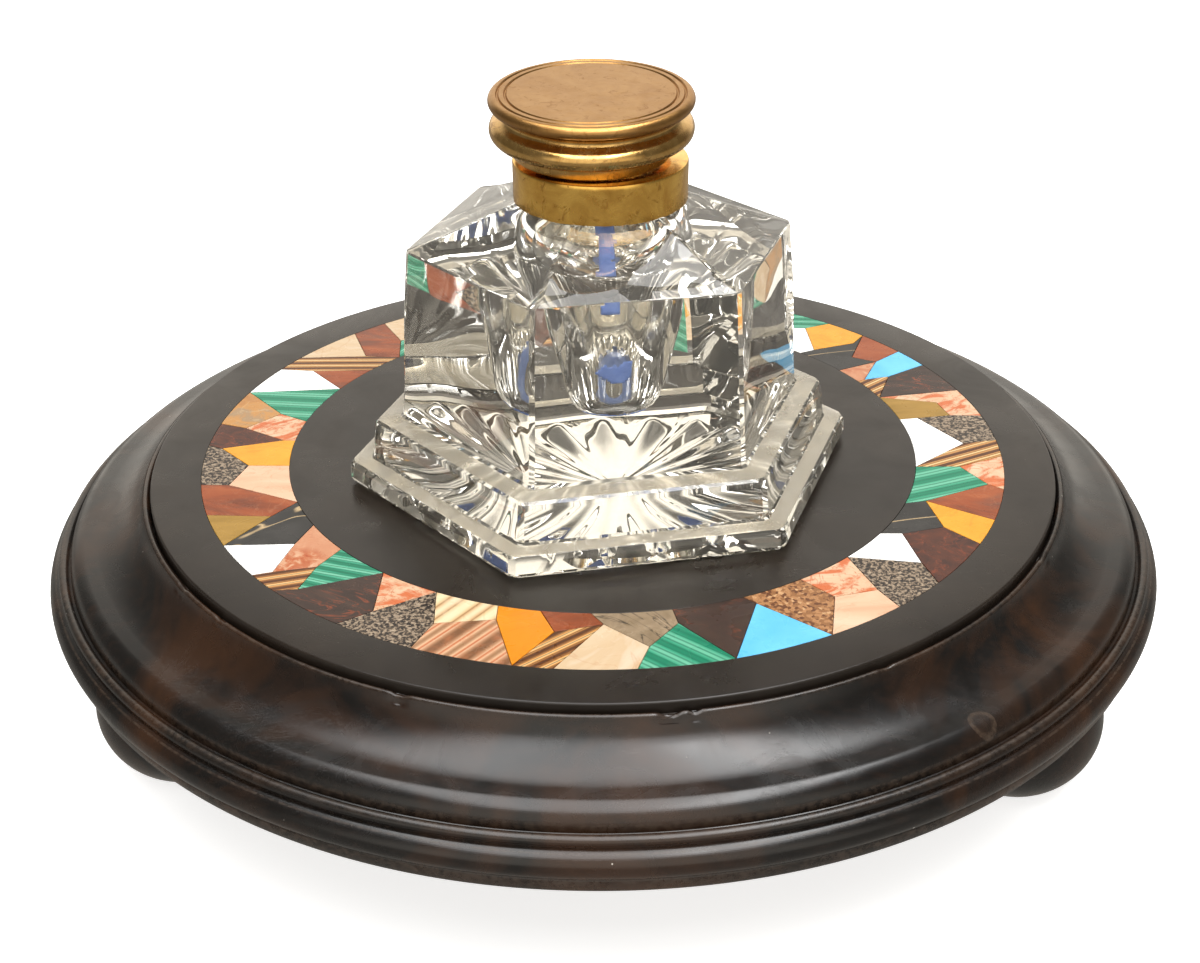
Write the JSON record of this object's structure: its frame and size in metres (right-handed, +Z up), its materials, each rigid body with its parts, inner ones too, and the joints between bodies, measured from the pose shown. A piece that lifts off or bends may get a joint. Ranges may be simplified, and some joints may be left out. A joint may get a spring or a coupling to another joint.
{
  "type": "inkwell on stand",
  "caption": "Hexagonal cut-glass inkwell with a hinged brass lid, on a round ebonised wood stand with bun feet and a slate top inlaid with coloured stones.",
  "frame": {"origin": "on the ground, under the middle of the round stand", "axes": "+Z up, -Y to the front, where the lid's hinge is at the back (+Y), +X to the right"},
  "size_m": [0.216, 0.216, 0.122],
  "materials": {
    "ebonised_wood": "french polished",
    "slate": "honed",
    "cement": "matt",
    "crystal": "polished",
    "brass": "worn polish",
    "satin_brass": "satin",
    "stone_striped": "polished",
    "stone_white": "polished",
    "stone_olive": "polished",
    "stone_brown": "polished",
    "stone_turquoise": "polished",
    "stone_red": "polished",
    "stone_yellow": "polished",
    "stone_pink": "polished",
    "stone_granite": "polished",
    "stone_malachite": "polished",
    "stone_cream": "polished",
    "stone_maroon": "polished",
    "stone_orange": "polished",
    "stone_veined": "polished",
    "stone_black": "polished",
    "stone_granular": "polished"
  },
  "bodies": {
    "stand": {"foot_front_left": "ebonised_wood", "foot_front_right": "ebonised_wood", "foot_rear": "ebonised_wood", "inlay_cement_bed": "cement", "slate_slab": "slate", "stand_moulding": "ebonised_wood", "stone_01_striped_and_veined": "stone_striped", "stone_02_white_and_granite": "stone_white", "stone_03_olive_and_veined": "stone_olive", "stone_04_brown_and_striped": "stone_brown", "stone_05_turquoise_and_coral": "stone_turquoise", "stone_06_brick_and_black": "stone_red", "stone_07_yellow_and_green": "stone_yellow", "stone_08_white": "stone_white", "stone_09_pink_and_olive": "stone_pink", "stone_10_granite_and_red": "stone_granite", "stone_11_malachite": "stone_malachite", "stone_12_cream_and_black": "stone_cream", "stone_13_yellow_and_striped": "stone_yellow", "stone_14_maroon_and_white": "stone_maroon", "stone_15_orange": "stone_orange", "stone_16_cream_and_green": "stone_cream", "stone_17_red": "stone_red", "stone_18_cream_and_striped": "stone_cream", "stone_19_red_and_white": "stone_red", "stone_20_malachite": "stone_malachite", "stone_21_amber": "stone_orange", "stone_22_veined_and_maroon": "stone_veined", "stone_23_yellow": "stone_yellow", "stone_24_granite": "stone_granite", "stone_25_pink": "stone_pink", "stone_26_red_and_olive": "stone_red", "stone_27_black": "stone_black", "stone_28_white_and_striped": "stone_white", "stone_29_pink": "stone_pink", "stone_30_malachite": "stone_malachite", "stone_31_brown": "stone_brown", "stone_32_veined_and_granite": "stone_veined", "stone_33_cream_and_banded": "stone_cream", "stone_34_orange": "stone_orange", "stone_35_red_and_striped": "stone_red", "stone_36_cream_and_grey": "stone_cream", "stone_37_malachite": "stone_malachite", "stone_38_brown_and_turquoise": "stone_brown", "stone_39_granular": "stone_granular", "stone_40_veined_and_pink": "stone_veined", "stone_41_granite_and_white": "stone_granite", "stone_42_maroon": "stone_maroon", "stone_43_black_and_yellow": "stone_black", "stone_44_red_and_malachite": "stone_red"},
    "inkwell": {"inkwell_glass": "crystal", "neck_collar": "brass", "collar_cement": "cement", "hinge_collar_leaf": "brass", "hinge_pin": "brass"},
    "lid": {"lid_top_plate": "satin_brass", "lid_moulded_ring": "brass", "lid_liner": "brass", "hinge_lid_leaf": "brass"}
  },
  "joints": [
    {"name": "inkwell_lift", "type": "slide", "parent": "stand", "child": "inkwell", "axis": [0, 0, 1], "range_m": [0, 0.08]},
    {"name": "lid_hinge", "type": "hinge", "parent": "inkwell", "child": "lid", "pos_m": [0, 0.0132, 0.1099], "axis": [-1, 0, 0], "range_deg": [0, 110]}
  ]
}
